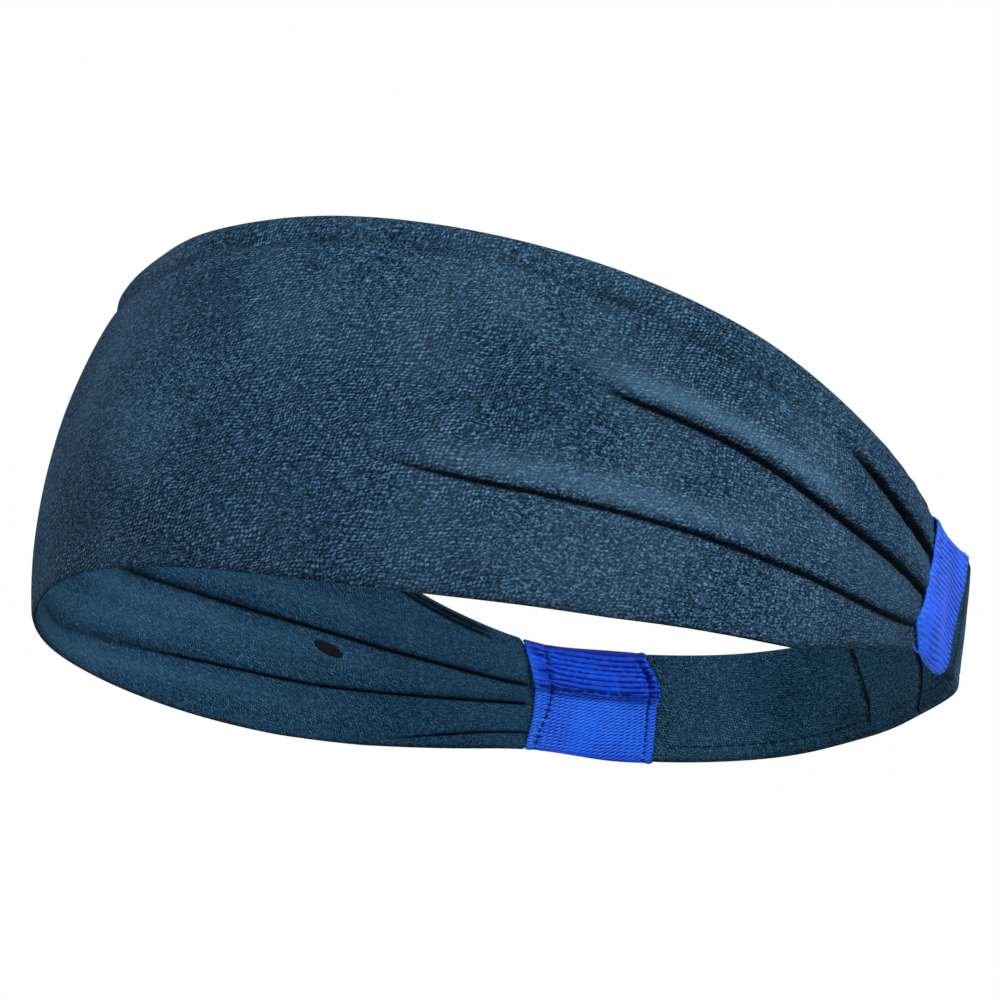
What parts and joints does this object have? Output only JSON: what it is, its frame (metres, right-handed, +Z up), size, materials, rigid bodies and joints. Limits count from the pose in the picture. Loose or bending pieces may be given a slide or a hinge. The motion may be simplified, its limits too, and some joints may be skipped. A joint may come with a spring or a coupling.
{
  "type": "sports headband",
  "caption": "Wide double-ply stretch-knit headband, gathered into ribbon tabs at both sides and closed by a narrow fabric-cased elastic rear strap.",
  "frame": {"origin": "centre of the loop's bottom rim, on the plane the band rests on", "axes": "+Z up, -Y towards the forehead, +Y towards the rear strap, +X the wearer's left"},
  "size_m": [0.1816, 0.1838, 0.0758],
  "materials": {
    "knit_outer": "heathered teal-navy stretch knit, fine dashes of lighter yarn, matt",
    "knit_inner": "the same knit seen from its inner face, a little darker and bluer, matt",
    "grosgrain_ribbon": "royal blue grosgrain ribbon with ribs about 1.1 mm apart, soft sheen",
    "woven_elastic": "flat woven elastic, hidden in the strap's casing",
    "thread": "dark navy polyester sewing thread",
    "ribbon_thread": "dark blue polyester sewing thread",
    "transfer_mark": "thin dark heat-transfer film, plain, slightly glossy"
  },
  "bodies": {
    "front_band": {"outer_panel": "knit_outer", "inner_panel": "knit_inner", "top_edge_seam": "thread", "bottom_edge_seam": "thread", "inner_mark": "transfer_mark", "left_tab": "grosgrain_ribbon", "left_gather_stitch": "thread", "left_tab_panel_stitch": "ribbon_thread", "left_tab_strap_stitch": "ribbon_thread", "left_tab_overlap_stitch": "ribbon_thread", "right_tab": "grosgrain_ribbon", "right_gather_stitch": "thread", "right_tab_panel_stitch": "ribbon_thread", "right_tab_strap_stitch": "ribbon_thread", "right_tab_overlap_stitch": "ribbon_thread"},
    "rear_strap": {"strap_casing_outer": "knit_outer", "strap_casing_inner": "knit_inner", "elastic_core": "woven_elastic", "strap_casing_seam": "thread", "strap_cross_seam": "thread"}
  },
  "joints": [
    {"name": "rear_stretch", "type": "slide", "parent": "front_band", "child": "rear_strap", "axis": [0, 1, 0], "range_m": [0, 0.02], "stiffness_N_per_m": 320, "deforming": ["strap_casing_outer", "strap_casing_inner", "elastic_core"]}
  ]
}
